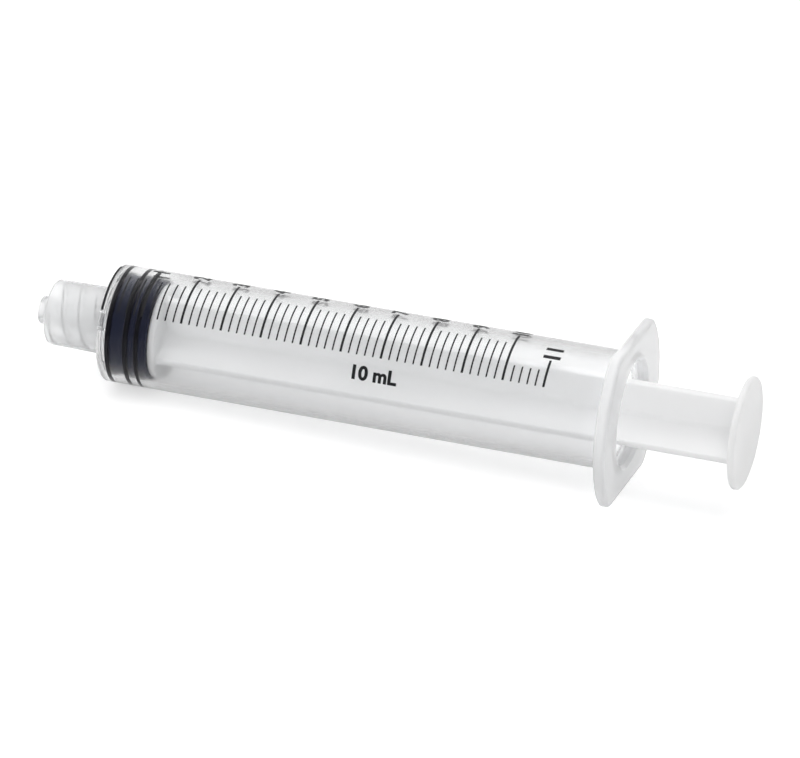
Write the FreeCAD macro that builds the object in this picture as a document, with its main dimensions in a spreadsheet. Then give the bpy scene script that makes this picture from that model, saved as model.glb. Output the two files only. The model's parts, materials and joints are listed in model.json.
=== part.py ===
import FreeCAD, Part
import math
import os
import Sketcher
from FreeCAD import Vector

# Disposable 10 mL syringe with a luer-lock end, lying on its side.
# The axis is X: the nozzle's tip is at the origin, the thumb disc at +X, and Z is up.
# Three mouldings: the barrel with its flange, the plunger, and the rubber gasket on its head.

# Driving dimensions, in millimetres apart from rodRoll and the two pure numbers
SIZES = [
    ("boreDia", 14.75, "inside of the barrel, so 1 mL takes 5.85 mm of its length"),
    ("barrelWall", 0.98, "wall of the barrel"),
    ("barrelLength", 74.1, "outer front face to the flange"),
    ("frontWall", 1.0, "end wall at its rim"),
    ("endConeDepth", 0.35, "how far the end wall's inside runs forward to the fluid bore"),
    ("barrelEdge", 0.45, "rounding of the barrel's front edge"),
    ("flangeThickness", 1.7, "finger flange"),
    ("flangeDia", 27.8, "across the flange's round ends"),
    ("flangeAcross", 22.0, "across the flange's two flats"),
    ("flangeCorner", 2.2, "rounding where a flat meets a round end"),
    ("flangeEdge", 0.6, "rounding of the flange's rim"),
    ("flangeRoot", 0.8, "fillet between the barrel and the flange"),
    ("mouthChamfer", 0.5, "lead-in at the barrel's open end"),
    ("beadHeight", 0.25, "stop bead inside the mouth"),
    ("beadWidth", 1.4, "length of the stop bead"),
    ("beadSetback", 1.2, "stop bead to the flange's rear face"),
    ("collarLength", 9.2, "luer-lock collar"),
    ("collarTipDia", 9.3, "outside of the collar at its lip"),
    ("collarRootDia", 9.6, "outside of the collar at the barrel"),
    ("collarBoreDia", 8.0, "inside of the collar, at the bottom of its thread"),
    ("collarFloor", 0.3, "bottom of the collar's recess, in front of the barrel's face"),
    ("collarEdge", 0.3, "rounding of the collar's lip"),
    ("nozzleReach", 1.9, "nozzle beyond the collar"),
    ("nozzleTipDia", 3.97, "nozzle at its tip"),
    ("nozzleTaper", 0.06, "luer taper, diameter over length"),
    ("nozzleEdge", 0.25, "rounding of the nozzle's tip"),
    ("fluidBoreDia", 2.1, "bore through the nozzle"),
    ("gasketPlay", 0.03, "radial clearance of the gasket's ribs in the barrel"),
    ("homeGap", 0.1, "gasket to the end wall, pushed home"),
    ("noseDia", 13.9, "rim of the cone on the gasket's nose"),
    ("frontRib", 0.65, "gasket's sealing rib"),
    ("frontGroove", 2.0, "wide groove behind it"),
    ("middleRib", 0.65, "second rib"),
    ("rearGroove", 1.0, "groove behind it"),
    ("rearRib", 0.55, "third rib"),
    ("tailGroove", 0.85, "groove behind it"),
    ("tailLip", 0.3, "gasket's rear lip"),
    ("grooveDepth", 0.5, "depth of the gasket's grooves"),
    ("tailDrop", 0.3, "rear lip below the ribs"),
    ("ribFlank", 0.12, "slope of the ribs' sides"),
    ("ribRound", 0.15, "rounding of the ribs' crests"),
    ("lipThickness", 1.3, "gasket's lip behind the plunger's head"),
    ("headDia", 9.6, "plunger's head inside the gasket"),
    ("headLength", 2.2, "plunger's head"),
    ("headCone", 1.0, "lead-in cone on the head"),
    ("headNoseDia", 7.0, "front of the head's cone"),
    ("neckDia", 6.6, "neck between the head and its backing disc"),
    ("headPlay", 0.05, "clearance of head and neck in the gasket"),
    ("backingPlay", 0.675, "clearance of the backing disc in the barrel"),
    ("backingThickness", 1.1, "backing disc"),
    ("backingEdge", 0.25, "rounding of the backing disc"),
    ("rodPlay", 1.275, "clearance of the rod's ribs in the barrel"),
    ("ribTip", 1.1, "rib's thickness at its edge"),
    ("ribRoot", 1.6, "rib's thickness at the rod's middle"),
    ("ribFillet", 0.7, "fillet between neighbouring ribs"),
    ("ribEdge", 0.25, "rounding of the ribs' edges"),
    ("ribCount", 4, "ribs of the rod"),
    ("rodRoll", 22.0, "degrees that the ribs are turned from upright"),
    ("rodReach", 15.5, "flange's rear face to the thumb disc, pushed home"),
    ("thumbDia", 15.8, "thumb disc"),
    ("thumbThickness", 1.0, "thumb disc"),
    ("thumbEdge", 0.4, "rounding of the thumb disc's rim"),
]

doc = FreeCAD.newDocument("Syringe")
sheet = doc.addObject("Spreadsheet::Sheet", "Sizes")
for row, (alias, value, note) in enumerate(SIZES, start=1):
    sheet.set(f"A{row}", alias)
    sheet.set(f"B{row}", str(value))
    sheet.setAlias(f"B{row}", alias)
    sheet.set(f"C{row}", note)
doc.recompute()


class Sizes:
    """Each size of the sheet by its alias, as the text that an expression needs."""


for alias, _, _ in SIZES:
    setattr(Sizes, alias, f"Sizes.{alias}")

# Radii, and places along the axis, worked out from the driving dimensions
boreRadius = f"({Sizes.boreDia} / 2)"
barrelRadius = f"({boreRadius} + {Sizes.barrelWall})"
fluidRadius = f"({Sizes.fluidBoreDia} / 2)"
lip = Sizes.nozzleReach
face = f"({lip} + {Sizes.collarLength})"
recessFloor = f"({face} - {Sizes.collarFloor})"
nozzleTip = f"({Sizes.nozzleTipDia} / 2)"
nozzleRoot = f"({nozzleTip} + {recessFloor} * {Sizes.nozzleTaper} / 2)"
flangeFront = f"({face} + {Sizes.barrelLength})"
flangeRear = f"({flangeFront} + {Sizes.flangeThickness})"
beadRear = f"({flangeRear} - {Sizes.beadSetback})"
beadCrest = f"({beadRear} - {Sizes.beadWidth} / 2)"
beadFront = f"({beadRear} - {Sizes.beadWidth})"
wallInside = f"({face} + {Sizes.frontWall})"
coneInside = f"({wallInside} - {Sizes.endConeDepth})"

ribCrest = f"({boreRadius} - {Sizes.gasketPlay})"
grooveBottom = f"({ribCrest} - {Sizes.grooveDepth})"
tailRadius = f"({ribCrest} - {Sizes.tailDrop})"
gasketFront = f"({wallInside} + {Sizes.homeGap})"
noseTip = f"({gasketFront} - {Sizes.endConeDepth})"
frontRibRear = f"({gasketFront} + {Sizes.frontRib})"
middleRibFront = f"({frontRibRear} + {Sizes.frontGroove})"
middleRibRear = f"({middleRibFront} + {Sizes.middleRib})"
rearRibFront = f"({middleRibRear} + {Sizes.rearGroove})"
rearRibRear = f"({rearRibFront} + {Sizes.rearRib})"
tailFront = f"({rearRibRear} + {Sizes.tailGroove})"
gasketRear = f"({tailFront} + {Sizes.tailLip})"

headRadius = f"({Sizes.headDia} / 2)"
headNose = f"({Sizes.headNoseDia} / 2)"
neckRadius = f"({Sizes.neckDia} / 2)"
backingRadius = f"({boreRadius} - {Sizes.backingPlay})"
ribReach = f"({boreRadius} - {Sizes.rodPlay})"
thumbRadius = f"({Sizes.thumbDia} / 2)"
cavityRear = f"({gasketRear} - {Sizes.lipThickness})"
headRear = f"({cavityRear} - {Sizes.headPlay})"
headFront = f"({headRear} - {Sizes.headLength})"
headShoulder = f"({headFront} + {Sizes.headCone})"
cavityFront = f"({headFront} - {Sizes.headPlay})"
backingFront = f"({gasketRear} + {Sizes.headPlay})"
backingRear = f"({backingFront} + {Sizes.backingThickness})"
thumbFront = f"({flangeRear} + {Sizes.rodReach})"
thumbRear = f"({thumbFront} + {Sizes.thumbThickness})"


def valueOf(expression):
    return float(sheet.evalExpression(expression))


def newBody(label):
    body = doc.addObject("PartDesign::Body", label)
    body.Label = label
    return body


def originOf(body, role):
    return next(feature for feature in body.Origin.OriginFeatures if feature.Role == role)


def newSketch(body, name, role, place=None):
    """A sketch on an origin plane of the body, moved along that plane's normal to a place."""
    sketch = body.newObject("Sketcher::SketchObject", name)
    sketch.AttachmentSupport = (originOf(body, role), [""])
    sketch.MapMode = "FlatFace"
    if place:
        sketch.setExpression("AttachmentOffset.Base.z", place)
    doc.recompute()
    return sketch


def bind(sketch, kind, *references, to):
    """Add a dimension to a sketch and tie it to an expression."""
    number = sketch.addConstraint(Sketcher.Constraint(kind, *references, valueOf(to)))
    sketch.setExpression(f"Constraints[{number}]", to)


def outline(sketch, corners):
    """A closed outline of straight lines, each corner held at two expressions or on an axis."""
    points = [Vector(valueOf(across), valueOf(up), 0) for across, up in corners]
    ends = points[1:] + points[:1]
    lines = [sketch.addGeometry(Part.LineSegment(start, end), False) for start, end in zip(points, ends)]
    for line, following in zip(lines, lines[1:] + lines[:1]):
        sketch.addConstraint(Sketcher.Constraint("Coincident", line, 2, following, 1))
    for line, (across, up) in zip(lines, corners):
        for kind, axis, text in (("DistanceX", -2, across), ("DistanceY", -1, up)):
            if text == "0":
                sketch.addConstraint(Sketcher.Constraint("PointOnObject", line, 1, axis))
            else:
                bind(sketch, kind, line, 1, to=text)


def turned(body, name, corners):
    """Turn an outline of (place along the axis, radius) corners about the axis."""
    sketch = newSketch(body, name + "Profile", "XZ_Plane")
    outline(sketch, corners)
    feature = body.newObject("PartDesign::Revolution", name)
    feature.Profile = sketch
    feature.ReferenceAxis = (sketch, ["H_Axis"])
    feature.Angle = 360
    doc.recompute()
    return feature


def padded(body, name, sketch, length):
    feature = body.newObject("PartDesign::Pad", name)
    feature.Profile = sketch
    feature.setExpression("Length", length)
    doc.recompute()
    return feature


def edgesWhere(feature, wanted):
    """Names of the feature's edges that pass a test."""
    return [f"Edge{number}" for number, edge in enumerate(feature.Shape.Edges, start=1) if wanted(edge)]


def near(value, expression):
    return abs(value - valueOf(expression)) < 1e-4


def axisDistance(edge):
    middle = edge.valueAt((edge.FirstParameter + edge.LastParameter) / 2)
    return math.hypot(middle.y, middle.z)


def isRim(edge, place, radius):
    """Whether an edge is a circle about the axis, at one place and radius."""
    if not isinstance(edge.Curve, Part.Circle):
        return False
    return near(edge.Curve.Center.x, place) and near(edge.Curve.Radius, radius) and near(axisDistance(edge), radius)


def runsAlong(edge):
    """Whether an edge is a straight line along the axis."""
    return isinstance(edge.Curve, Part.Line) and abs(edge.Curve.Direction.x) > 0.999


def liesAt(edge, place):
    return all(near(vertex.X, place) for vertex in edge.Vertexes)


def rounded(body, name, base, size, wanted):
    """Round the edges of a feature that pass a test."""
    fillet = body.newObject("PartDesign::Fillet", name)
    fillet.Base = (base, edgesWhere(base, wanted))
    fillet.setExpression("Radius", size)
    doc.recompute()
    return fillet


# The barrel's tube, end wall, luer-lock collar and nozzle are one turned section
def makeTube(body):
    return turned(body, "Tube", [
        ("0", fluidRadius),
        ("0", nozzleTip),
        (recessFloor, nozzleRoot),
        (recessFloor, f"{Sizes.collarBoreDia} / 2"),
        (lip, f"{Sizes.collarBoreDia} / 2"),
        (lip, f"{Sizes.collarTipDia} / 2"),
        (face, f"{Sizes.collarRootDia} / 2"),
        (face, barrelRadius),
        (flangeRear, barrelRadius),
        (flangeRear, f"{boreRadius} + {Sizes.mouthChamfer}"),
        (f"{flangeRear} - {Sizes.mouthChamfer}", boreRadius),
        (beadRear, boreRadius),
        (beadCrest, f"{boreRadius} - {Sizes.beadHeight}"),
        (beadFront, boreRadius),
        (wallInside, boreRadius),
        (coneInside, fluidRadius),
    ])


# The flange is a disc with two flats, with a hole that ends inside the barrel's wall
def makeFlange(body):
    sketch = newSketch(body, "FlangeOutline", "YZ_Plane", flangeFront)
    radius = valueOf(f"{Sizes.flangeDia} / 2")
    flat = valueOf(f"{Sizes.flangeAcross} / 2")
    reach = math.sqrt(radius ** 2 - flat ** 2)
    turn = math.atan2(flat, reach)
    circle = Part.Circle(Vector(0, 0, 0), Vector(0, 0, 1), radius)
    right = sketch.addGeometry(Part.ArcOfCircle(circle, -turn, turn), False)
    top = sketch.addGeometry(Part.LineSegment(Vector(reach, flat, 0), Vector(-reach, flat, 0)), False)
    left = sketch.addGeometry(Part.ArcOfCircle(circle, math.pi - turn, math.pi + turn), False)
    bottom = sketch.addGeometry(Part.LineSegment(Vector(-reach, -flat, 0), Vector(reach, -flat, 0)), False)
    for first, second in ((right, top), (top, left), (left, bottom), (bottom, right)):
        sketch.addConstraint(Sketcher.Constraint("Coincident", first, 2, second, 1))
    for arc in (right, left):
        sketch.addConstraint(Sketcher.Constraint("Coincident", arc, 3, -1, 1))
        bind(sketch, "Radius", arc, to=f"{Sizes.flangeDia} / 2")
    for line, side in ((top, ""), (bottom, "-")):
        sketch.addConstraint(Sketcher.Constraint("Horizontal", line))
        bind(sketch, "DistanceY", line, 1, to=f"{side}{Sizes.flangeAcross} / 2")
    hole = sketch.addGeometry(Part.Circle(Vector(0, 0, 0), Vector(0, 0, 1), valueOf(barrelRadius)), False)
    sketch.addConstraint(Sketcher.Constraint("Coincident", hole, 3, -1, 1))
    bind(sketch, "Radius", hole, to=f"{barrelRadius} - {Sizes.barrelWall} / 4")
    return padded(body, "Flange", sketch, Sizes.flangeThickness)


def makeBarrel():
    body = newBody("barrel")
    makeTube(body)
    plate = makeFlange(body)
    corners = rounded(body, "FlangeCorners", plate, Sizes.flangeCorner,
                      lambda edge: runsAlong(edge) and near(axisDistance(edge), f"{Sizes.flangeDia} / 2"))
    outside = valueOf(f"{barrelRadius} + {Sizes.flangeRoot}")
    rim = rounded(body, "FlangeRim", corners, Sizes.flangeEdge,
                  lambda edge: axisDistance(edge) > outside
                  and (liesAt(edge, flangeFront) or liesAt(edge, flangeRear)))
    root = rounded(body, "FlangeRoot", rim, Sizes.flangeRoot,
                   lambda edge: isRim(edge, flangeFront, barrelRadius))
    shoulder = rounded(body, "Shoulder", root, Sizes.barrelEdge,
                       lambda edge: isRim(edge, face, barrelRadius))
    collar = rounded(body, "CollarLip", shoulder, Sizes.collarEdge,
                     lambda edge: isRim(edge, lip, f"{Sizes.collarTipDia} / 2")
                     or isRim(edge, lip, f"{Sizes.collarBoreDia} / 2"))
    rounded(body, "NozzleTip", collar, Sizes.nozzleEdge,
            lambda edge: isRim(edge, "0", nozzleTip))
    return body


# The gasket: three ribs, a rear lip, a coned nose and a cavity that the plunger's head sits in
def makeGasket():
    body = newBody("gasket")
    flank = Sizes.ribFlank
    play = Sizes.headPlay
    section = turned(body, "Section", [
        (noseTip, "0"),
        (noseTip, fluidRadius),
        (gasketFront, f"{Sizes.noseDia} / 2"),
        (gasketFront, ribCrest),
        (frontRibRear, ribCrest),
        (f"{frontRibRear} + {flank}", grooveBottom),
        (f"{middleRibFront} - {flank}", grooveBottom),
        (middleRibFront, ribCrest),
        (middleRibRear, ribCrest),
        (f"{middleRibRear} + {flank}", grooveBottom),
        (f"{rearRibFront} - {flank}", grooveBottom),
        (rearRibFront, ribCrest),
        (rearRibRear, ribCrest),
        (f"{rearRibRear} + {flank}", grooveBottom),
        (f"{tailFront} - {flank}", grooveBottom),
        (tailFront, tailRadius),
        (gasketRear, tailRadius),
        (gasketRear, f"{neckRadius} + {play}"),
        (cavityRear, f"{neckRadius} + {play}"),
        (cavityRear, f"{headRadius} + {play}"),
        (headShoulder, f"{headRadius} + {play}"),
        (cavityFront, f"{headNose} + {play}"),
        (cavityFront, "0"),
    ])
    rounded(body, "Crests", section, Sizes.ribRound,
            lambda edge: near(axisDistance(edge), ribCrest) and isinstance(edge.Curve, Part.Circle))
    return body


# The plunger: a snap-in head and backing disc, a rod of crossed ribs, and the thumb disc
def makePlunger():
    body = newBody("plunger")
    turned(body, "Head", [
        (headFront, "0"),
        (headFront, headNose),
        (headShoulder, headRadius),
        (headRear, headRadius),
        (headRear, neckRadius),
        (backingFront, neckRadius),
        (backingFront, backingRadius),
        (backingRear, backingRadius),
        (backingRear, "0"),
    ])

    sketch = newSketch(body, "RibSection", "YZ_Plane", backingRear)
    sketch.setExpression("AttachmentOffset.Rotation.Angle", Sizes.rodRoll)
    outline(sketch, [
        (f"-{Sizes.ribRoot} / 2", "0"),
        (f"{Sizes.ribRoot} / 2", "0"),
        (f"{Sizes.ribTip} / 2", ribReach),
        (f"-{Sizes.ribTip} / 2", ribReach),
    ])
    rib = padded(body, "Rib", sketch, f"{thumbFront} - {backingRear}")
    cross = body.newObject("PartDesign::PolarPattern", "Cross")
    cross.Originals = [rib]
    cross.Axis = (originOf(body, "X_Axis"), [""])
    cross.Angle = 360
    cross.setExpression("Occurrences", Sizes.ribCount)
    body.Tip = cross
    doc.recompute()

    disc = turned(body, "ThumbDisc", [
        (thumbFront, "0"),
        (thumbFront, thumbRadius),
        (thumbRear, thumbRadius),
        (thumbRear, "0"),
    ])
    halfRoot = valueOf(Sizes.ribRoot)
    valleys = rounded(body, "RibValleys", disc, Sizes.ribFillet,
                      lambda edge: runsAlong(edge) and axisDistance(edge) < halfRoot)
    crest = valueOf(ribReach)
    edges = rounded(body, "RibEdges", valleys, Sizes.ribEdge,
                    lambda edge: runsAlong(edge) and axisDistance(edge) > crest)
    backing = rounded(body, "BackingEdges", edges, Sizes.backingEdge,
                      lambda edge: isRim(edge, backingFront, backingRadius)
                      or isRim(edge, backingRear, backingRadius))
    rounded(body, "ThumbRim", backing, Sizes.thumbEdge,
            lambda edge: isRim(edge, thumbFront, thumbRadius) or isRim(edge, thumbRear, thumbRadius))
    return body


def check(bodies):
    """Stop if any object of the document failed, or a body isn't one valid solid."""
    for item in doc.Objects:
        if "Invalid" in item.State or "Error" in item.State:
            raise RuntimeError(f"{item.Name} failed: {item.State}")
    for body in bodies:
        if body.Shape.isNull() or not body.Shape.isValid() or len(body.Shape.Solids) != 1:
            raise RuntimeError(f"{body.Label} isn't one valid solid")


bodies = [makeBarrel(), makeGasket(), makePlunger()]
doc.recompute()
check(bodies)
os.makedirs("parts", exist_ok=True)
for body in bodies:
    body.Shape.exportStep(f"parts/{body.Label}.step")
    print(f"{body.Label}: {body.Shape.Volume:.1f} mm3, {len(body.Shape.Faces)} faces")
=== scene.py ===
# A disposable 10 mL syringe: clear barrel with a printed scale, black rubber gasket, milky plunger.
# The axis is X, the nozzle's tip is at the origin, the thumb disc is at the far end.
import bmesh
import bpy
import json
import math
from mathutils import Matrix, Vector


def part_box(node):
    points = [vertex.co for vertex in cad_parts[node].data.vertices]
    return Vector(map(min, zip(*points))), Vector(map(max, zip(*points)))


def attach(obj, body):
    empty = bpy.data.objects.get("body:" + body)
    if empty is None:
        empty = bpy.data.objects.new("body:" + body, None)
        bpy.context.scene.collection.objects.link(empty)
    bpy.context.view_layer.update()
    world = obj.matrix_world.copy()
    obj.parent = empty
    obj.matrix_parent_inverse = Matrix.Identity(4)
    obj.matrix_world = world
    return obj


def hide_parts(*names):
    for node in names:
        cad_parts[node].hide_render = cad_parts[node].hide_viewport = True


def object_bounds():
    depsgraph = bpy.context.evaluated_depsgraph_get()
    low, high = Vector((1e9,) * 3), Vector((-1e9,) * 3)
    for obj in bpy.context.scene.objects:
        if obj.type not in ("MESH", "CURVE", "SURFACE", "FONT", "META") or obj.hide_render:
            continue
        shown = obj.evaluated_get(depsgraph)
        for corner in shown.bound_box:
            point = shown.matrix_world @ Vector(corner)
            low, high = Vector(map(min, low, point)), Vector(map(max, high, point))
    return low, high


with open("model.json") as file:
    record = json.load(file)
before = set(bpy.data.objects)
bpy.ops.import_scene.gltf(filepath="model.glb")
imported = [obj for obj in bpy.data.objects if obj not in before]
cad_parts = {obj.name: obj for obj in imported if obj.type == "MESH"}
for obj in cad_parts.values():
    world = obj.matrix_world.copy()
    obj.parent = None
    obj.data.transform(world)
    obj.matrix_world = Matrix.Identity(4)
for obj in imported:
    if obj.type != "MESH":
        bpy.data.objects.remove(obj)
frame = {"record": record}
cadLow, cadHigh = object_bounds()
mm = 0.001
smoothAngle = 35  # degrees: a sharper edge than this stays an edge
scene = bpy.context.scene
_, barrelHigh = (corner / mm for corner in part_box("barrel"))
gasketLow, gasketHigh = (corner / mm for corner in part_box("gasket"))
plungerLow, plungerHigh = (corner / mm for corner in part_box("plunger"))
mounts = {mount["name"]: mount for mount in frame["record"]["mounts"]}
print("frame loaded, syringe", round(plungerHigh.x, 1), "mm long")


# Outlines: each corner is (along, out, rounding), and a rounding of 0 keeps it sharp
def roundedOutline(corners, closed=False, steps=6):
    points = []
    count = len(corners)
    for number, (along, out, rounding) in enumerate(corners):
        here = Vector((along, out))
        isEnd = not closed and number in (0, count - 1)
        if rounding == 0 or isEnd:
            points.append((along, out))
            continue
        back = (Vector(corners[number - 1][:2]) - here).normalized()
        ahead = (Vector(corners[(number + 1) % count][:2]) - here).normalized()
        half = back.angle(ahead) / 2
        middle = here + (back + ahead).normalized() * rounding / math.sin(half)
        first = here + back * rounding / math.tan(half) - middle
        last = here + ahead * rounding / math.tan(half) - middle
        start = math.atan2(first.y, first.x)
        sweep = (math.atan2(last.y, last.x) - start + math.pi) % (2 * math.pi) - math.pi
        for step in range(steps + 1):
            angle = start + sweep * step / steps
            points.append((middle.x + rounding * math.cos(angle), middle.y + rounding * math.sin(angle)))
    return points


def smoothStep(value):
    value = min(max(value, 0.0), 1.0)
    return value * value * (3 - 2 * value)


def newObject(name, mesh, material):
    item = bpy.data.objects.new(name, mesh)
    scene.collection.objects.link(item)
    mesh.materials.clear()
    mesh.materials.append(material)
    mesh.shade_smooth()
    mesh.set_sharp_from_angle(angle=math.radians(smoothAngle))
    weighted = item.modifiers.new("FlatFacesStayFlat", "WEIGHTED_NORMAL")
    weighted.keep_sharp = True
    return item


def meshFrom(shape, name):
    # Turns all faces outwards and closes the drawing
    bmesh.ops.recalc_face_normals(shape, faces=shape.faces)
    mesh = bpy.data.meshes.new(name)
    shape.to_mesh(mesh)
    shape.free()
    return mesh


# A turned piece: every row is (along, radius), and a radius may be a function of the angle
def turnedMesh(name, rows, segments, closed):
    shape = bmesh.new()
    rings = []
    for along, out in rows:
        if out == 0:
            rings.append([shape.verts.new((along * mm, 0, 0))])
            continue
        ring = []
        for segment in range(segments):
            angle = 2 * math.pi * segment / segments
            radius = out(angle) if callable(out) else out
            across, up = radius * math.cos(angle), radius * math.sin(angle)
            ring.append(shape.verts.new((along * mm, across * mm, up * mm)))
        rings.append(ring)
    following = rings[1:] + (rings[:1] if closed else [])
    for near, far in zip(rings, following):
        for segment in range(segments):
            after = (segment + 1) % segments
            if len(near) == 1:
                shape.faces.new((near[0], far[segment], far[after]))
            elif len(far) == 1:
                shape.faces.new((near[segment], far[0], near[after]))
            else:
                shape.faces.new((near[segment], far[segment], far[after], near[after]))
    return meshFrom(shape, name)


# Materials
noiseRange = (0.3, 0.7)  # nearly all of a noise lies between these


def newMaterial(name):
    material = bpy.data.materials.new(name)
    material.use_nodes = True
    nodes = material.node_tree.nodes
    nodes.clear()
    output = nodes.new("ShaderNodeOutputMaterial")
    return material, nodes, material.node_tree.links, output


def spread(nodes, links, value, start, end, low, high, smooth=False):
    # Brings a value that goes from start to end between low and high
    node = nodes.new("ShaderNodeMapRange")
    if smooth:
        node.interpolation_type = "SMOOTHSTEP"
    node.inputs["From Min"].default_value = start
    node.inputs["From Max"].default_value = end
    node.inputs["To Min"].default_value = low
    node.inputs["To Max"].default_value = high
    links.new(value, node.inputs["Value"])
    return node.outputs["Result"]


def coordinate(nodes, links, kind, axis):
    coordinates = nodes.new("ShaderNodeTexCoord")
    split = nodes.new("ShaderNodeSeparateXYZ")
    links.new(coordinates.outputs[kind], split.inputs["Vector"])
    return split.outputs[axis]


def calculate(nodes, links, operation, first, second):
    node = nodes.new("ShaderNodeMath")
    node.operation = operation
    links.new(first, node.inputs[0])
    links.new(second, node.inputs[1])
    return node.outputs["Value"]


def blendColours(nodes, links, factor, first, second):
    blend = nodes.new("ShaderNodeMix")
    blend.data_type = "RGBA"
    blend.inputs["A"].default_value = (*first, 1)
    blend.inputs["B"].default_value = (*second, 1)
    links.new(factor, blend.inputs["Factor"])
    return blend.outputs["Result"]


def mixShaders(nodes, links, factor, first, second):
    mix = nodes.new("ShaderNodeMixShader")
    links.new(factor, mix.inputs["Fac"])
    links.new(first, mix.inputs[1])
    links.new(second, mix.inputs[2])
    return mix.outputs["Shader"]


def mottle(nodes, links, grain, low, high):
    # A noise over the piece's own coordinates, brought between two values. A grain is (scale, detail).
    coordinates = nodes.new("ShaderNodeTexCoord")
    noise = nodes.new("ShaderNodeTexNoise")
    noise.inputs["Scale"].default_value, noise.inputs["Detail"].default_value = grain
    links.new(coordinates.outputs["Object"], noise.inputs["Vector"])
    return spread(nodes, links, noise.outputs["Fac"], *noiseRange, low, high)


def addBump(nodes, links, shader, height, distance):
    bump = nodes.new("ShaderNodeBump")
    bump.inputs["Strength"].default_value = 1
    bump.inputs["Distance"].default_value = distance
    links.new(height, bump.inputs["Height"])
    links.new(bump.outputs["Normal"], shader.inputs["Normal"])


def letLampsThrough(nodes, links, output, shader, passed):
    # Lamps shine through the plastic instead of leaving it black inside
    rays = nodes.new("ShaderNodeLightPath")
    clear = nodes.new("ShaderNodeBsdfTransparent")
    clear.inputs["Color"].default_value = (*passed, 1)
    isShadow = rays.outputs["Is Shadow Ray"]
    both = mixShaders(nodes, links, isShadow, shader.outputs["BSDF"], clear.outputs["BSDF"])
    links.new(both, output.inputs["Surface"])


# Thin walls are clear, and the thick flange and collar are milkier
clearLook = {
    "thinColour": (0.9, 0.903, 0.906),
    "thickColour": (0.955, 0.958, 0.964),
    "thinClarity": 1.0,
    "thickClarity": 0.4,
    "collarClarity": 0.7,
    "collarFade": 0.6,
    "flangeFade": 1.0,
    "colourFade": 4.0,
    "ior": 1.42,
    "reflection": 0.08,
    "haze": (0.06, 0.2),
    "hazeReach": (-1, 4),
    "collarHaze": 0.2,
    "mottle": 0.04,
    "grain": (260, 3),
    "wave": (90, 1),
    "waveDepth": 0.00002,
    "lampsPassed": (0.97, 0.972, 0.975),
}


def placeAlong(nodes, links, start, end, low, high):
    # Goes from one value to another between two places along the syringe, in millimetres
    along = coordinate(nodes, links, "Object", "X")
    return spread(nodes, links, along, start * mm, end * mm, low, high, smooth=True)


def makeClearPlastic():
    material, nodes, links, output = newMaterial("clearPolypropylene")
    shader = nodes.new("ShaderNodeBsdfPrincipled")
    shader.inputs["IOR"].default_value = clearLook["ior"]
    shader.inputs["Specular Tint"].default_value = (clearLook["reflection"],) * 3 + (1,)
    thin = clearLook["thinClarity"]
    fromCollar = barrelFace - clearLook["collarFade"], barrelFace + clearLook["collarFade"]
    toFlange = flangeFront - clearLook["flangeFade"], flangeFront + clearLook["flangeFade"] / 2
    atFlange = placeAlong(nodes, links, flangeFront - clearLook["colourFade"], flangeFront, 0, 1)
    colour = blendColours(nodes, links, atFlange, clearLook["thinColour"], clearLook["thickColour"])
    links.new(colour, shader.inputs["Base Color"])
    towardsFlange = placeAlong(nodes, links, *toFlange, thin, clearLook["thickClarity"])
    awayFromCollar = placeAlong(nodes, links, *fromCollar, clearLook["collarClarity"], thin)
    clarity = calculate(nodes, links, "MINIMUM", towardsFlange, awayFromCollar)
    links.new(clarity, shader.inputs["Transmission Weight"])
    pastGasket = [gasketHigh.x + reach for reach in clearLook["hazeReach"]]
    tubeHaze = placeAlong(nodes, links, *pastGasket, *clearLook["haze"])
    collarHaze = placeAlong(nodes, links, *fromCollar, clearLook["collarHaze"], 0)
    haze = calculate(nodes, links, "MAXIMUM", tubeHaze, collarHaze)
    uneven = mottle(nodes, links, clearLook["grain"], 0, clearLook["mottle"])
    links.new(calculate(nodes, links, "ADD", haze, uneven), shader.inputs["Roughness"])
    addBump(nodes, links, shader, mottle(nodes, links, clearLook["wave"], 0, 1), clearLook["waveDepth"])
    letLampsThrough(nodes, links, output, shader, clearLook["lampsPassed"])
    return material


milkyLook = {
    "colour": (0.92, 0.925, 0.932),
    "subsurface": 0.9,
    "depth": 0.003,
    "roughness": (0.30, 0.42),
    "grain": (300, 3),
    "wave": (140, 2),
    "waveDepth": 0.00002,
}


def makeMilkyPlastic():
    material, nodes, links, output = newMaterial("milkyPolypropylene")
    shader = nodes.new("ShaderNodeBsdfPrincipled")
    shader.inputs["Base Color"].default_value = (*milkyLook["colour"], 1)
    shader.inputs["Subsurface Weight"].default_value = milkyLook["subsurface"]
    shader.inputs["Subsurface Radius"].default_value = (1, 1, 1)
    shader.inputs["Subsurface Scale"].default_value = milkyLook["depth"]
    links.new(mottle(nodes, links, milkyLook["grain"], *milkyLook["roughness"]), shader.inputs["Roughness"])
    addBump(nodes, links, shader, mottle(nodes, links, milkyLook["wave"], 0, 1), milkyLook["waveDepth"])
    links.new(shader.outputs["BSDF"], output.inputs["Surface"])
    return material


# The lighter navy groove colour below is painted sheen, not a colour of the rubber
rubberLook = {
    "wetColour": (0.005, 0.005, 0.008),
    "dryColour": (0.016, 0.019, 0.040),
    "wetDepth": (0.25, 0.05),
    "gloss": 0.15,
    "roughness": (0.28, 0.42),
    "grain": (700, 4),
    "skin": (2500, 3),
    "skinDepth": 0.00001,
}


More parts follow.
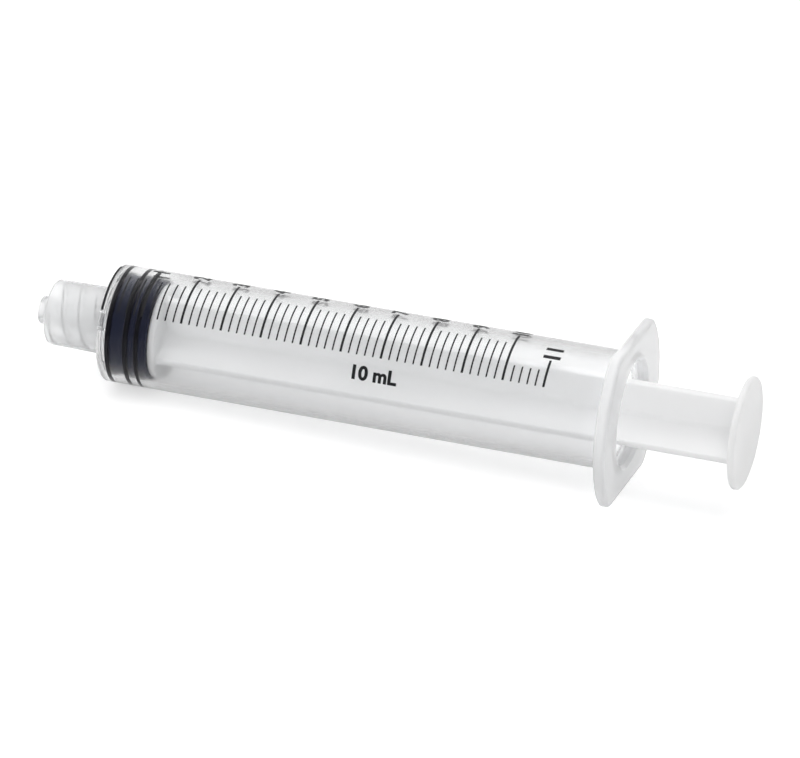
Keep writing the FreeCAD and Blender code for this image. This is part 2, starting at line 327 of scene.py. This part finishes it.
def makeRubber():
    # The ribs show the rubber's own black. The grooves between them are painted a lighter navy as painted
    # sheen, standing in for room light reflected in them.
    material, nodes, links, output = newMaterial("blackRubber")
    shader = nodes.new("ShaderNodeBsdfPrincipled")
    shader.inputs["Specular IOR Level"].default_value = rubberLook["gloss"]
    coordinates = nodes.new("ShaderNodeTexCoord")
    flatten = nodes.new("ShaderNodeVectorMath")
    flatten.operation = "MULTIPLY"
    flatten.inputs[1].default_value = (0, 1, 1)
    links.new(coordinates.outputs["Object"], flatten.inputs[0])
    radius = nodes.new("ShaderNodeVectorMath")
    radius.operation = "LENGTH"
    links.new(flatten.outputs["Vector"], radius.inputs[0])
    # Painted sheen: full navy deep in the grooves, fading to the rubber's black towards the rib crests
    fullSheenRadius, noSheenRadius = ((gasketHigh.z - depth) * mm for depth in rubberLook["wetDepth"])
    sheenFadeToCrest = spread(nodes, links, radius.outputs["Value"], fullSheenRadius, noSheenRadius, 0, 1)
    colour = blendColours(nodes, links, sheenFadeToCrest, rubberLook["dryColour"], rubberLook["wetColour"])
    links.new(colour, shader.inputs["Base Color"])
    links.new(mottle(nodes, links, rubberLook["grain"], *rubberLook["roughness"]), shader.inputs["Roughness"])
    addBump(nodes, links, shader, mottle(nodes, links, rubberLook["skin"], 0, 1), rubberLook["skinDepth"])
    links.new(shader.outputs["BSDF"], output.inputs["Surface"])
    return material


inkLook = {
    "darkColour": (0.006, 0.006, 0.008),
    "paleColour": (0.018, 0.018, 0.020),
    "grain": (3500, 3),
    "roughness": 0.45,
    "gloss": 0.2,
}


def makeInk():
    material, nodes, links, output = newMaterial("printedInk")
    shader = nodes.new("ShaderNodeBsdfPrincipled")
    cover = mottle(nodes, links, inkLook["grain"], 0, 1)
    colour = blendColours(nodes, links, cover, inkLook["darkColour"], inkLook["paleColour"])
    links.new(colour, shader.inputs["Base Color"])
    shader.inputs["Roughness"].default_value = inkLook["roughness"]
    shader.inputs["Specular IOR Level"].default_value = inkLook["gloss"]
    links.new(shader.outputs["BSDF"], output.inputs["Surface"])
    return material


# The barrel: one moulding with its nozzle, threaded collar, tube, stop bead and oblong flange
barrel = {
    "segments": 240,
    "radius": mounts["barrel_grip"]["dims"]["r_mm"],
    "wall": 0.98,
    "frontWall": 1.0,
    "coneDepth": 0.35,
    "frontEdge": 0.45,
    "collarLength": 9.2,
    "collarTip": 4.65,
    "collarRoot": 4.8,
    "collarBore": mounts["luer_lock"]["dims"]["r_mm"],
    "collarEdge": 0.3,
    "collarFoot": 0.3,
    "lipMargin": 0.02,
    "recessFloor": 0.3,
    "recessFillet": 0.4,
    "lip": mounts["luer_lock"]["pos_m"][0] / mm,
    "nozzleTip": 1.985,
    "nozzleTaper": 0.03,
    "nozzleEdge": 0.25,
    "fluidBore": mounts["fluid_bore"]["dims"]["r_mm"],
    "threadLead": 5.0,
    "threadPitch": 2.5,
    "threadHeight": 0.5,
    "threadCrest": 0.3,
    "threadBase": 1.0,
    "threadFade": 0.8,
    "threadStop": 0.6,
    "threadSteps": 100,
    "flangeThickness": 1.7,
    "flangeRound": 13.9,
    "flangeFlat": barrelHigh.z,
    "flangeCorner": 2.2,
    "flangeCornerLeast": 0.1,
    "flangeEdge": 0.6,
    "flangeEdgeSteps": 6,
    "flangeEdgeMargin": 0.1,
    "flangeRoot": 0.8,
    "flangeRootMargin": 0.05,
    "mouthChamfer": 0.5,
    "mouthEdge": 0.15,
    "mouthMargin": 0.3,
    "beadHeight": 0.25,
    "beadWidth": 1.4,
    "beadSetback": 1.2,
    "beadCrest": 0.6,
    "beadFoot": 0.2,
    "insideCorner": 0.3,
}
barrelFace = barrel["lip"] + barrel["collarLength"]
barrelBore = barrel["radius"] - barrel["wall"]
flangeRear = barrelHigh.x
flangeFront = flangeRear - barrel["flangeThickness"]

clearPlastic = makeClearPlastic()
milkyPlastic = makeMilkyPlastic()
blackRubber = makeRubber()
printedInk = makeInk()
print("materials made")


# How far the flange reaches at an angle, for its outline drawn in by an inset
def flangeReach(angle, inset):
    outer = barrel["flangeRound"] - inset
    flat = barrel["flangeFlat"] - inset
    corner = max(barrel["flangeCorner"] - inset, barrel["flangeCornerLeast"])
    across = abs(math.cos(angle))
    up = abs(math.sin(angle))
    cornerUp = flat - corner
    cornerAcross = math.sqrt((outer - corner) ** 2 - cornerUp ** 2)
    if up > 0 and flat * across / up <= cornerAcross:
        return flat / up
    if math.atan2(up, across) <= math.atan2(cornerUp, cornerAcross):
        return outer
    reach = cornerAcross * across + cornerUp * up
    return reach + math.sqrt(corner ** 2 - (cornerAcross ** 2 + cornerUp ** 2 - reach ** 2))


# The thread inside the collar: two right-handed ridges, so the pitch is half the lead
def threadRadius(along, start, end):
    def radius(angle):
        phase = (along - barrel["threadLead"] * angle / (2 * math.pi)) / barrel["threadPitch"]
        away = abs((phase + 0.5) % 1 - 0.5) * barrel["threadPitch"]
        flank = (barrel["threadBase"] - barrel["threadCrest"]) / 2
        ridge = smoothStep((barrel["threadBase"] / 2 - away) / flank)
        fade = smoothStep((along - start) / barrel["threadFade"])
        fade *= smoothStep((end - along) / barrel["threadFade"])
        return barrel["collarBore"] - barrel["threadHeight"] * ridge * fade
    return radius


def flangeRow(along, inset):
    return along, lambda angle: flangeReach(angle, inset)


def makeBarrel():
    recess = barrelFace - barrel["recessFloor"]
    nozzleRoot = barrel["nozzleTip"] + barrel["nozzleTaper"] * recess
    wallInside = barrelFace + barrel["frontWall"]
    threadStart = barrel["lip"] + barrel["collarEdge"]
    threadEnd = recess - barrel["threadStop"]
    rows = roundedOutline([
        (0, barrel["fluidBore"], 0),
        (0, barrel["nozzleTip"], barrel["nozzleEdge"]),
        (recess, nozzleRoot, barrel["recessFillet"]),
        (recess, barrel["collarBore"], barrel["recessFillet"]),
        (threadEnd, barrel["collarBore"], 0),
    ])
    for step in range(1, barrel["threadSteps"]):
        along = threadEnd + (threadStart - threadEnd) * step / barrel["threadSteps"]
        rows.append((along, threadRadius(along, threadStart, threadEnd)))
    rows += roundedOutline([
        (threadStart, barrel["collarBore"], 0),
        (barrel["lip"], barrel["collarBore"], barrel["collarEdge"] - barrel["lipMargin"]),
        (barrel["lip"], barrel["collarTip"], barrel["collarEdge"]),
        (barrelFace, barrel["collarRoot"], barrel["collarFoot"]),
        (barrelFace, barrel["radius"], barrel["frontEdge"]),
        (flangeFront, barrel["radius"], barrel["flangeRoot"]),
        (flangeFront, barrel["radius"] + barrel["flangeRoot"] + barrel["flangeRootMargin"], 0),
    ])
    edge = barrel["flangeEdge"]
    rows.append(flangeRow(flangeFront, edge + barrel["flangeEdgeMargin"]))
    quarter = barrel["flangeEdgeSteps"]
    for step in range(quarter + 1):
        angle = math.pi / 2 * step / quarter
        rows.append(flangeRow(flangeFront + edge * (1 - math.cos(angle)), edge * (1 - math.sin(angle))))
    for step in range(quarter + 1):
        angle = math.pi / 2 * step / quarter
        rows.append(flangeRow(flangeRear - edge * (1 - math.sin(angle)), edge * (1 - math.cos(angle))))
    rows.append(flangeRow(flangeRear, edge + barrel["flangeEdgeMargin"]))
    beadRear = flangeRear - barrel["beadSetback"]
    mouth = barrelBore + barrel["mouthChamfer"]
    rows += roundedOutline([
        (flangeRear, mouth + barrel["mouthMargin"], 0),
        (flangeRear, mouth, barrel["mouthEdge"]),
        (flangeRear - barrel["mouthChamfer"], barrelBore, barrel["mouthEdge"]),
        (beadRear, barrelBore, barrel["beadFoot"]),
        (beadRear - barrel["beadWidth"] / 2, barrelBore - barrel["beadHeight"], barrel["beadCrest"]),
        (beadRear - barrel["beadWidth"], barrelBore, barrel["beadFoot"]),
        (wallInside, barrelBore, barrel["insideCorner"]),
        (wallInside - barrel["coneDepth"], barrel["fluidBore"], 0),
    ])
    mesh = turnedMesh("barrelShell", rows, barrel["segments"], True)
    item = newObject("barrelShell", mesh, clearPlastic)
    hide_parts("barrel")
    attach(item, "barrel")
    return item


makeBarrel()
print("barrel made")


# The gasket: a front rib, two more behind it, and a rear lip round the plunger's head.
# Its ribs are squeezed a little into the barrel's wall, so that no film of air shows between them.
gasket = {
    "segments": 160,
    "curveSteps": 4,
    "edge": 0.1,
    "noseRadius": 6.95,
    "ribs": [(0.65, 2.0), (0.65, 1.0), (0.55, 0.85)],
    "grooveDepth": 0.32,
    "tailDrop": 0.22,
    "flank": 0.12,
    "squeeze": 0.03,
    "crestRounding": 0.15,
    "valleyRounding": 0.2,
    "coneDepth": 0.35,
    "cavityRear": 1.3,
    "headRadius": 4.85,
    "neckRadius": 3.35,
    "cavityLength": 2.3,
    "cavityCone": 1.05,
    "cavityNose": 3.55,
}


def makeGasket():
    crest = barrelBore + gasket["squeeze"]
    groove = gasketHigh.z - gasket["grooveDepth"]
    tail = gasketHigh.z - gasket["tailDrop"]
    place = gasketLow.x + gasket["coneDepth"]
    rear = gasketHigh.x
    corners = [
        (gasketLow.x, 0, 0),
        (gasketLow.x, barrel["fluidBore"], gasket["edge"]),
        (place, gasket["noseRadius"], gasket["edge"]),
        (place, crest, gasket["crestRounding"]),
    ]
    for number, (width, gap) in enumerate(gasket["ribs"]):
        if number:
            corners.append((place, crest, gasket["crestRounding"]))
        place += width
        corners.append((place, crest, gasket["crestRounding"]))
        corners.append((place + gasket["flank"], groove, gasket["valleyRounding"]))
        place += gap
        corners.append((place - gasket["flank"], groove, gasket["valleyRounding"]))
    cavityRear = rear - gasket["cavityRear"]
    cavityFront = cavityRear - gasket["cavityLength"]
    corners += [
        (place, tail, gasket["edge"]),
        (rear, tail, gasket["edge"]),
        (rear, gasket["neckRadius"], 0),
        (cavityRear, gasket["neckRadius"], 0),
        (cavityRear, gasket["headRadius"], 0),
        (cavityFront + gasket["cavityCone"], gasket["headRadius"], 0),
        (cavityFront, gasket["cavityNose"], 0),
        (cavityFront, 0, 0),
    ]
    outline = roundedOutline(corners, steps=gasket["curveSteps"])
    mesh = turnedMesh("gasketRubber", outline, gasket["segments"], False)
    item = newObject("gasketRubber", mesh, blackRubber)
    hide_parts("gasket")
    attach(item, "gasket")
    return item


makeGasket()
print("gasket made")


# The plunger: snap-in head, backing disc, rod of four crossed ribs, thumb disc
plunger = {
    "segments": 160,
    "headRadius": 4.8,
    "headNose": 3.5,
    "headCone": 1.0,
    "headLength": 2.2,
    "headEdge": 0.2,
    "headRearEdge": 0.15,
    "neckRadius": 3.3,
    "neckLength": 1.4,
    "neckFillet": 0.2,
    "backingRadius": 6.7,
    "backingThickness": 1.1,
    "backingEdge": 0.25,
    "ribReach": 6.1,
    "ribTip": 0.55,
    "ribRoot": 0.8,
    "ribEdge": 0.25,
    "ribFillet": 0.7,
    "ribCount": 4,
    "discFillet": 0.35,
    "filletSteps": 5,
    "roll": 22.0,
    "sink": 0.4,
    "thumbRadius": 7.9,
    "thumbThickness": 1.0,
    "thumbEdge": 0.4,
}


# The rod's section, grown a little all round where it meets a disc
def rodSection(grow):
    reach = plunger["ribReach"] + grow
    tip = plunger["ribTip"] + grow
    root = plunger["ribRoot"] + grow
    valley = root / (1 + (root - tip) / reach)
    corners = []
    for rib in range(plunger["ribCount"]):
        angle = math.radians(90 + plunger["roll"]) + 2 * math.pi * rib / plunger["ribCount"]
        out = Vector((math.cos(angle), math.sin(angle)))
        side = Vector((-math.sin(angle), math.cos(angle)))
        corners.append((*(out * reach - side * tip), plunger["ribEdge"]))
        corners.append((*(out * reach + side * tip), plunger["ribEdge"]))
        corners.append((*((out + side) * valley), plunger["ribFillet"]))
    return roundedOutline(corners, closed=True)


def makeRod(start, end):
    shape = bmesh.new()
    fillet = plunger["discFillet"]
    steps = plunger["filletSteps"]
    places = [(start - plunger["sink"], fillet)]
    places += [(start + fillet * (1 - math.cos(turn)), fillet * (1 - math.sin(turn)))
               for turn in (math.pi / 2 * step / steps for step in range(steps + 1))]
    places += [(end - along + start, grow) for along, grow in reversed(places[1:])]
    places.append((end + plunger["sink"], fillet))
    rings = []
    for along, grow in places:
        rings.append([shape.verts.new((along * mm, y * mm, z * mm)) for y, z in rodSection(grow)])
    for near, far in zip(rings, rings[1:]):
        for number in range(len(near)):
            after = (number + 1) % len(near)
            shape.faces.new((near[number], far[number], far[after], near[after]))
    shape.faces.new(rings[0])
    shape.faces.new(rings[-1])
    return meshFrom(shape, "rod")


def joined(name, meshes):
    # A union of closed meshes as one closed mesh
    parts = [bpy.data.objects.new(f"{name}Part", mesh) for mesh in meshes]
    for part in parts:
        scene.collection.objects.link(part)
    for part in parts[1:]:
        union = parts[0].modifiers.new("Union", "BOOLEAN")
        union.operation = "UNION"
        union.solver = "EXACT"
        union.object = part
    bpy.context.view_layer.update()
    evaluated = parts[0].evaluated_get(bpy.context.evaluated_depsgraph_get())
    mesh = bpy.data.meshes.new_from_object(evaluated)
    mesh.name = name
    for part in parts:
        bpy.data.objects.remove(part)
    return mesh


def makePlunger():
    rear = plungerHigh.x
    thumbFront = rear - plunger["thumbThickness"]
    headFront = plungerLow.x
    headRear = headFront + plunger["headLength"]
    backingFront = headRear + plunger["neckLength"]
    backingRear = backingFront + plunger["backingThickness"]
    head = turnedMesh("head", roundedOutline([
        (headFront, 0, 0),
        (headFront, plunger["headNose"], plunger["headEdge"]),
        (headFront + plunger["headCone"], plunger["headRadius"], plunger["headEdge"]),
        (headRear, plunger["headRadius"], plunger["headRearEdge"]),
        (headRear, plunger["neckRadius"], plunger["neckFillet"]),
        (backingFront, plunger["neckRadius"], plunger["neckFillet"]),
        (backingFront, plunger["backingRadius"], plunger["backingEdge"]),
        (backingRear, plunger["backingRadius"], plunger["backingEdge"]),
        (backingRear, 0, 0),
    ]), plunger["segments"], False)
    disc = turnedMesh("disc", roundedOutline([
        (thumbFront, 0, 0),
        (thumbFront, plunger["thumbRadius"], plunger["thumbEdge"]),
        (rear, plunger["thumbRadius"], plunger["thumbEdge"]),
        (rear, 0, 0),
    ]), plunger["segments"], False)
    mesh = joined("plungerRod", [head, makeRod(backingRear, thumbFront), disc])
    item = newObject("plungerRod", mesh, milkyPlastic)
    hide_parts("plunger")
    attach(item, "plunger")
    return item


makePlunger()
print("plunger made")


# The print: heights round the barrel are degrees above the side that faces the reader
ink = {
    "standOff": 0.004,
    "thickness": 0.02,
    "zero": barrelFace + 0.38,
    "perMillilitre": 5.852,
    "volume": 11,
    "stepsPerMillilitre": 5,
    "majorWidth": 0.34,
    "minorWidth": 0.22,
    "foot": 32.4,
    "majorTop": 92.3,
    "minorTop": 75.3,
    "lastMinorTop": 48.8,
    "lastTop": 60.8,
    "arcStep": 2.5,
    "boldness": 0.04,
    "numeralHeight": 2.45,
    "numeralGap": 2.0,
    "markHeight": 2.1,
    "markPlace": 52.0,
    "markTurn": 15.8,
    "strip": 0.25,
    "curveSteps": 6,
    "weld": 1e-5,
}


def onBarrel(along, turn, height):
    radius = (barrel["radius"] + ink["standOff"] + height) * mm
    angle = math.radians(turn)
    return along * mm, -radius * math.cos(angle), radius * math.sin(angle)


def addLine(shape, along, top, width):
    half = width / 2
    count = max(2, round((top - ink["foot"]) / ink["arcStep"]))
    rings = []
    for step in range(count + 1):
        turn = ink["foot"] + (top - ink["foot"]) * step / count
        corners = ((-half, 0), (half, 0), (half, ink["thickness"]), (-half, ink["thickness"]))
        rings.append([shape.verts.new(onBarrel(along + offset, turn, height)) for offset, height in corners])
    for near, far in zip(rings, rings[1:]):
        for number in range(4):
            after = (number + 1) % 4
            shape.faces.new((near[number], far[number], far[after], near[after]))
    shape.faces.new(rings[0])
    shape.faces.new(rings[-1])


def makeLines():
    shape = bmesh.new()
    steps = ink["volume"] * ink["stepsPerMillilitre"]
    for step in range(steps + 1):
        isMajor = step % ink["stepsPerMillilitre"] == 0
        pastTen = step > steps - ink["stepsPerMillilitre"]
        top = ink["majorTop"] if isMajor else ink["minorTop"]
        if pastTen:
            top = ink["lastTop"] if isMajor else ink["lastMinorTop"]
        width = ink["majorWidth"] if isMajor else ink["minorWidth"]
        addLine(shape, ink["zero"] + ink["perMillilitre"] * step / ink["stepsPerMillilitre"], top, width)
    return inkPiece("scaleLines", meshFrom(shape, "scaleLines"))


def inkPiece(name, mesh):
    item = bpy.data.objects.new(name, mesh)
    scene.collection.objects.link(item)
    mesh.materials.clear()
    mesh.materials.append(printedInk)
    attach(item, "barrel")
    return item


# Flat lettering as a closed mesh, in millimetres, cut in strips along one axis so that it can bend
def letteringShape(text, height, bendAxis):
    curve = bpy.data.curves.new("lettering", "FONT")
    curve.body = text
    curve.resolution_u = ink["curveSteps"]
    curve.extrude = ink["thickness"] / 2
    curve.offset = ink["boldness"]
    carrier = bpy.data.objects.new("lettering", curve)
    scene.collection.objects.link(carrier)
    bpy.context.view_layer.update()
    mesh = bpy.data.meshes.new_from_object(carrier.evaluated_get(bpy.context.evaluated_depsgraph_get()))
    bpy.data.objects.remove(carrier)
    shape = bmesh.new()
    shape.from_mesh(mesh)
    bpy.data.meshes.remove(mesh)
    bmesh.ops.remove_doubles(shape, verts=shape.verts, dist=ink["weld"])
    low = [min(vertex.co[axis] for vertex in shape.verts) for axis in range(2)]
    high = [max(vertex.co[axis] for vertex in shape.verts) for axis in range(2)]
    size = height / (high[1] - low[1])
    for vertex in shape.verts:
        vertex.co.x = (vertex.co.x - low[0]) * size
        vertex.co.y = (vertex.co.y - low[1]) * size
        vertex.co.z = ink["thickness"] if vertex.co.z > 0 else 0
    length = (high[bendAxis] - low[bendAxis]) * size
    normal = Vector((1, 0, 0)) if bendAxis == 0 else Vector((0, 1, 0))
    for strip in range(1, int(length / ink["strip"]) + 1):
        geometry = shape.verts[:] + shape.edges[:] + shape.faces[:]
        bmesh.ops.bisect_plane(shape, geom=geometry, plane_co=normal * strip * ink["strip"], plane_no=normal)
    return shape, (high[0] - low[0]) * size


def degreesAlong(distance):
    return math.degrees(distance / barrel["radius"])


# Scale numbers stand on the nozzle's side, so their text runs up round the barrel
def makeNumerals():
    whole = bmesh.new()
    for number in range(1, ink["volume"] + 1):
        shape, _ = letteringShape(str(number), ink["numeralHeight"], 0)
        line = ink["zero"] + ink["perMillilitre"] * number
        top = ink["lastTop"] if number == ink["volume"] else ink["majorTop"]
        start = top + ink["numeralGap"]
        for vertex in shape.verts:
            across, up, height = vertex.co
            vertex.co = onBarrel(line + ink["numeralHeight"] / 2 - up, start + degreesAlong(across), height)
        mesh = bpy.data.meshes.new("numeral")
        shape.to_mesh(mesh)
        shape.free()
        whole.from_mesh(mesh)
        bpy.data.meshes.remove(mesh)
    return inkPiece("scaleNumerals", meshFrom(whole, "scaleNumerals"))


# A plain statement of the volume reads along the barrel, below the scale
def makeVolumeMark():
    shape, width = letteringShape("10 mL", ink["markHeight"], 1)
    for vertex in shape.verts:
        across, up, height = vertex.co
        turn = ink["markTurn"] + degreesAlong(up - ink["markHeight"] / 2)
        vertex.co = onBarrel(ink["markPlace"] - width / 2 + across, turn, height)
    return inkPiece("volumeMark", meshFrom(shape, "volumeMark"))


makeLines()
makeNumerals()
makeVolumeMark()
print("print made")


# The floor lies where the syringe rests: under the flange's flat and the barrel's front edge
studio = {
    "floorSize": 6.0,
    "floorColour": 0.8,
    "floorGlow": 0.5,
    "floorGlowBehind": 0.42,
    "worldLight": 0.5,
    "cameraSide": 0.2,
    "background": 1.0,
    "floorDims": (-0.03, -0.25),
    "roomDims": (-0.75, -0.35),
}


def floorPlace():
    flangeTouch = Vector((flangeRear - barrel["flangeThickness"] / 2, -barrelHigh.z))
    frontTouch = Vector((barrelFace + barrel["frontEdge"], -barrel["radius"]))
    slope = math.atan2(frontTouch.y - flangeTouch.y, flangeTouch.x - frontTouch.x)
    return flangeTouch, slope


def matteShader(nodes, level):
    shader = nodes.new("ShaderNodeBsdfDiffuse")
    shader.inputs["Color"].default_value = (level,) * 3 + (1,)
    return shader.outputs["BSDF"]


def makeFloor():
    material, nodes, links, output = newMaterial("studioFloor")
    matte = matteShader(nodes, studio["floorColour"])
    rays = nodes.new("ShaderNodeLightPath")
    glow = nodes.new("ShaderNodeEmission")
    glowLevels = studio["floorGlowBehind"], studio["floorGlow"]
    strength = spread(nodes, links, rays.outputs["Is Camera Ray"], 0, 1, *glowLevels)
    links.new(strength, glow.inputs["Strength"])
    glowing = nodes.new("ShaderNodeAddShader")
    links.new(matte, glowing.inputs[0])
    links.new(glow.outputs["Emission"], glowing.inputs[1])
    bright = mixShaders(nodes, links, seenDirectly(nodes, links), matte, glowing.outputs["Shader"])
    # In gloss the floor is dim far off on the camera's side
    across = coordinate(nodes, links, "Object", "Y")
    farOff = spread(nodes, links, across, *studio["floorDims"], 0, 1, smooth=True)
    dimmed = calculate(nodes, links, "MULTIPLY", farOff, rays.outputs["Is Glossy Ray"])
    whole = mixShaders(nodes, links, dimmed, bright, matteShader(nodes, studio["cameraSide"] / 2))
    links.new(whole, output.inputs["Surface"])
    touch, slope = floorPlace()
    half = studio["floorSize"] / 2
    mesh = bpy.data.meshes.new("floor")
    corners = [(-half, -half, 0), (half, -half, 0), (half, half, 0), (-half, half, 0)]
    mesh.from_pydata(corners, [], [(0, 1, 2, 3)])
    mesh.materials.append(material)
    floor = bpy.data.objects.new("floor", mesh)
    scene.collection.objects.link(floor)
    floor.location = (touch.x * mm, 0, touch.y * mm)
    floor.rotation_euler = (0, slope, 0)
    return floor


def seenDirectly(nodes, links):
    # 1 for rays from the camera, off gloss and through plastic, so that all three find a white room
    rays = nodes.new("ShaderNodeLightPath")
    direct = calculate(nodes, links, "MAXIMUM", rays.outputs["Is Camera Ray"], rays.outputs["Is Glossy Ray"])
    return calculate(nodes, links, "MAXIMUM", direct, rays.outputs["Is Transmission Ray"])


# In gloss the room is white but for the dim side where the camera stands
def awayFromCamera(nodes, links):
    across = coordinate(nodes, links, "Generated", "Y")
    levels = studio["cameraSide"], studio["background"]
    return spread(nodes, links, across, *studio["roomDims"], *levels, smooth=True)


def makeWorld():
    world = bpy.data.worlds.new("studio")
    world.use_nodes = True
    nodes = world.node_tree.nodes
    links = world.node_tree.links
    background = nodes["Background"]
    levels = studio["worldLight"], studio["background"]
    level = spread(nodes, links, seenDirectly(nodes, links), 0, 1, *levels)
    rays = nodes.new("ShaderNodeLightPath")
    inGloss = nodes.new("ShaderNodeMapRange")
    inGloss.inputs["To Min"].default_value = 1
    links.new(rays.outputs["Is Glossy Ray"], inGloss.inputs["Value"])
    links.new(awayFromCamera(nodes, links), inGloss.inputs["To Max"])
    strength = calculate(nodes, links, "MULTIPLY", level, inGloss.outputs["Result"])
    links.new(strength, background.inputs["Strength"])
    background.inputs["Color"].default_value = (1, 1, 1, 1)
    scene.world = world


lamps = [
    {"name": "topSoftbox", "place": (0.0, 0.1, 0.9), "size": (0.9, 0.9), "watts": 3.4},
    {"name": "leftSoftbox", "place": (-0.7, -0.5, 0.5), "size": (0.5, 0.7), "watts": 1.6},
    {"name": "frontSoftbox", "place": (0.5, -0.9, 0.55), "size": (0.8, 0.6), "watts": 1.9},
]


def makeLamps():
    target = Vector(((cadLow.x + cadHigh.x) / 2, 0, 0))
    for lamp in lamps:
        light = bpy.data.lights.new(lamp["name"], "AREA")
        light.shape = "RECTANGLE"
        light.size, light.size_y = lamp["size"]
        light.energy = lamp["watts"]
        item = bpy.data.objects.new(lamp["name"], light)
        item.location = target + Vector(lamp["place"])
        item.rotation_euler = (target - item.location).to_track_quat("-Z", "Y").to_euler()
        scene.collection.objects.link(item)


camera = {
    "place": (270.2, -727.1, 306.4),
    "aim": (53.3, 0.0, -1.0),
    "roll": 3.6,
    "lens": 265.0,
    "nearest": 0.01,
    "farthest": 20,
}


def makeCamera():
    data = bpy.data.cameras.new("camera")
    data.lens = camera["lens"]
    data.clip_start = camera["nearest"]
    data.clip_end = camera["farthest"]
    item = bpy.data.objects.new("camera", data)
    item.location = Vector(camera["place"]) * mm
    look = (Vector(camera["aim"]) - Vector(camera["place"])).to_track_quat("-Z", "Y").to_matrix().to_4x4()
    item.rotation_euler = (look @ Matrix.Rotation(math.radians(camera["roll"]), 4, "Z")).to_euler()
    scene.collection.objects.link(item)
    scene.camera = item


makeFloor()
makeWorld()
makeLamps()
makeCamera()
scene.view_settings.view_transform = "Standard"
print("studio made")
